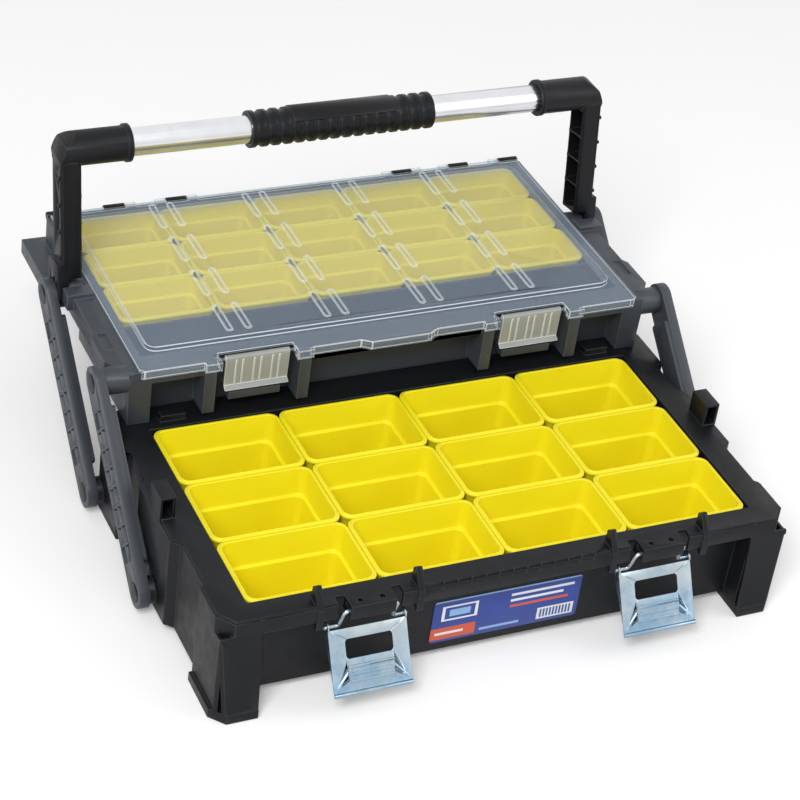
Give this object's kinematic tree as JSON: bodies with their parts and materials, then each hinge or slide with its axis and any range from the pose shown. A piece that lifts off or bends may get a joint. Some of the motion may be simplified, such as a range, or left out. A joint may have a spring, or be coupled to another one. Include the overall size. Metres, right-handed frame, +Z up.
{
  "type": "cantilever tool box",
  "caption": "Tool box opened on parallel arms: a lower case of lift-out bins, and an upper case with bins under a clear hinged lid and a folding carry handle.",
  "frame": {"origin": "on the floor, under the middle of the open box", "axes": "X across the box with +X to its right, -Y to the front where the latches are, +Z up"},
  "size_m": [0.464, 0.4634, 0.2433],
  "materials": {
    "case_black": "satin moulded plastic",
    "case_grey": "satin moulded plastic",
    "bin_yellow": "semi-gloss moulded plastic",
    "lid_clear": "frosted clear plastic",
    "trim_black": "satin",
    "zinc_steel": "zinc plated",
    "tube_aluminium": "bright drawn",
    "label_print": "printed sticker"
  },
  "bodies": {
    "lower_case": {"lower_case": "case_black", "front_label": "label_print", "front_lower_pin_left": "trim_black", "front_lower_pin_right": "trim_black", "rear_lower_pin_left": "trim_black", "rear_lower_pin_right": "trim_black"},
    "lower_bin_01": {"lower_bin_01": "bin_yellow"},
    "lower_bin_02": {"lower_bin_02": "bin_yellow"},
    "lower_bin_03": {"lower_bin_03": "bin_yellow"},
    "lower_bin_04": {"lower_bin_04": "bin_yellow"},
    "lower_bin_05": {"lower_bin_05": "bin_yellow"},
    "lower_bin_06": {"lower_bin_06": "bin_yellow"},
    "lower_bin_07": {"lower_bin_07": "bin_yellow"},
    "lower_bin_08": {"lower_bin_08": "bin_yellow"},
    "lower_bin_09": {"lower_bin_09": "bin_yellow"},
    "lower_bin_10": {"lower_bin_10": "bin_yellow"},
    "lower_bin_11": {"lower_bin_11": "bin_yellow"},
    "lower_bin_12": {"lower_bin_12": "bin_yellow"},
    "upper_case": {"upper_case": "case_grey", "lid_hinge_tabs": "trim_black", "lid_hinge_rod": "zinc_steel", "upper_bin_01": "bin_yellow", "upper_bin_02": "bin_yellow", "upper_bin_03": "bin_yellow", "upper_bin_04": "bin_yellow", "upper_bin_05": "bin_yellow", "upper_bin_06": "bin_yellow", "upper_bin_07": "bin_yellow", "upper_bin_08": "bin_yellow", "upper_bin_09": "bin_yellow", "upper_bin_10": "bin_yellow", "upper_bin_11": "bin_yellow", "upper_bin_12": "bin_yellow", "upper_bin_13": "bin_yellow", "upper_bin_14": "bin_yellow", "upper_bin_15": "bin_yellow", "front_upper_pin_left": "trim_black", "front_upper_pin_right": "trim_black", "rear_upper_pin_left": "trim_black", "rear_upper_pin_right": "trim_black"},
    "rear_arms": {"rear_arm_left": "case_grey", "rear_arm_right": "case_grey"},
    "front_arms": {"front_arm_left": "case_grey", "front_arm_right": "case_grey"},
    "handle": {"handle_upright_left": "case_black", "handle_upright_right": "case_black", "handle_tube": "tube_aluminium", "handle_grip": "case_black"},
    "lid": {"lid": "lid_clear"},
    "lid_clip_left": {"lid_clip_left": "lid_clear"},
    "latch_bail_left": {"latch_bail_left": "zinc_steel"},
    "latch_plate_left": {"latch_plate_left": "zinc_steel"},
    "lid_clip_right": {"lid_clip_right": "lid_clear"},
    "latch_bail_right": {"latch_bail_right": "zinc_steel"},
    "latch_plate_right": {"latch_plate_right": "zinc_steel"}
  },
  "joints": [
    {"name": "cantilever_swing", "type": "hinge", "parent": "lower_case", "child": "rear_arms", "pos_m": [0, 0.02578, 0.0175], "axis": [1, 0, 0], "range_deg": [0, 96]},
    {"name": "upper_level", "type": "hinge", "parent": "rear_arms", "child": "upper_case", "pos_m": [0, 0.13725, 0.11787], "axis": [1, 0, 0], "range_deg": [-96, 0]},
    {"name": "front_swing", "type": "hinge", "parent": "lower_case", "child": "front_arms", "pos_m": [0, -0.09022, 0.0175], "axis": [1, 0, 0], "range_deg": [0, 96]},
    {"name": "handle_fold", "type": "hinge", "parent": "upper_case", "child": "handle", "pos_m": [0, 0.13725, 0.11787], "axis": [1, 0, 0], "range_deg": [-81, 0]},
    {"name": "lid_hinge", "type": "hinge", "parent": "upper_case", "child": "lid", "pos_m": [0, 0.22775, 0.1262], "axis": [1, 0, 0], "range_deg": [-40, 0]},
    {"name": "lid_clip_turn_left", "type": "hinge", "parent": "lid", "child": "lid_clip_left", "pos_m": [-0.1105, 0.01415, 0.1271], "axis": [1, 0, 0], "range_deg": [-75, 0]},
    {"name": "latch_bail_turn_left", "type": "hinge", "parent": "lower_case", "child": "latch_bail_left", "pos_m": [-0.1105, -0.20972, 0.075], "axis": [1, 0, 0], "range_deg": [-140, 0]},
    {"name": "latch_plate_turn_left", "type": "hinge", "parent": "latch_bail_left", "child": "latch_plate_left", "pos_m": [-0.1105, -0.20381, 0.05874], "axis": [1, 0, 0], "range_deg": [-40, 20]},
    {"name": "lid_clip_turn_right", "type": "hinge", "parent": "lid", "child": "lid_clip_right", "pos_m": [0.1105, 0.01415, 0.1271], "axis": [1, 0, 0], "range_deg": [-75, 0]},
    {"name": "latch_bail_turn_right", "type": "hinge", "parent": "lower_case", "child": "latch_bail_right", "pos_m": [0.1105, -0.20972, 0.075], "axis": [1, 0, 0], "range_deg": [-140, 0]},
    {"name": "latch_plate_turn_right", "type": "hinge", "parent": "latch_bail_right", "child": "latch_plate_right", "pos_m": [0.1105, -0.20381, 0.05874], "axis": [1, 0, 0], "range_deg": [-40, 20]},
    {"name": "lower_bin_01_lift", "type": "slide", "parent": "lower_case", "child": "lower_bin_01", "axis": [0, 0, -1], "range_m": [-0.05, 0]},
    {"name": "lower_bin_02_lift", "type": "slide", "parent": "lower_case", "child": "lower_bin_02", "axis": [0, 0, -1], "range_m": [-0.05, 0]},
    {"name": "lower_bin_03_lift", "type": "slide", "parent": "lower_case", "child": "lower_bin_03", "axis": [0, 0, -1], "range_m": [-0.05, 0]},
    {"name": "lower_bin_04_lift", "type": "slide", "parent": "lower_case", "child": "lower_bin_04", "axis": [0, 0, -1], "range_m": [-0.05, 0]},
    {"name": "lower_bin_05_lift", "type": "slide", "parent": "lower_case", "child": "lower_bin_05", "axis": [0, 0, -1], "range_m": [-0.05, 0]},
    {"name": "lower_bin_06_lift", "type": "slide", "parent": "lower_case", "child": "lower_bin_06", "axis": [0, 0, -1], "range_m": [-0.05, 0]},
    {"name": "lower_bin_07_lift", "type": "slide", "parent": "lower_case", "child": "lower_bin_07", "axis": [0, 0, -1], "range_m": [-0.05, 0]},
    {"name": "lower_bin_08_lift", "type": "slide", "parent": "lower_case", "child": "lower_bin_08", "axis": [0, 0, -1], "range_m": [-0.05, 0]},
    {"name": "lower_bin_09_lift", "type": "slide", "parent": "lower_case", "child": "lower_bin_09", "axis": [0, 0, -1], "range_m": [-0.05, 0]},
    {"name": "lower_bin_10_lift", "type": "slide", "parent": "lower_case", "child": "lower_bin_10", "axis": [0, 0, -1], "range_m": [-0.05, 0]},
    {"name": "lower_bin_11_lift", "type": "slide", "parent": "lower_case", "child": "lower_bin_11", "axis": [0, 0, -1], "range_m": [-0.05, 0]},
    {"name": "lower_bin_12_lift", "type": "slide", "parent": "lower_case", "child": "lower_bin_12", "axis": [0, 0, -1], "range_m": [-0.05, 0]}
  ],
  "couplings": [
    {"joint": "upper_level", "follows": "cantilever_swing", "ratio": -1},
    {"joint": "front_swing", "follows": "cantilever_swing", "ratio": 1}
  ]
}
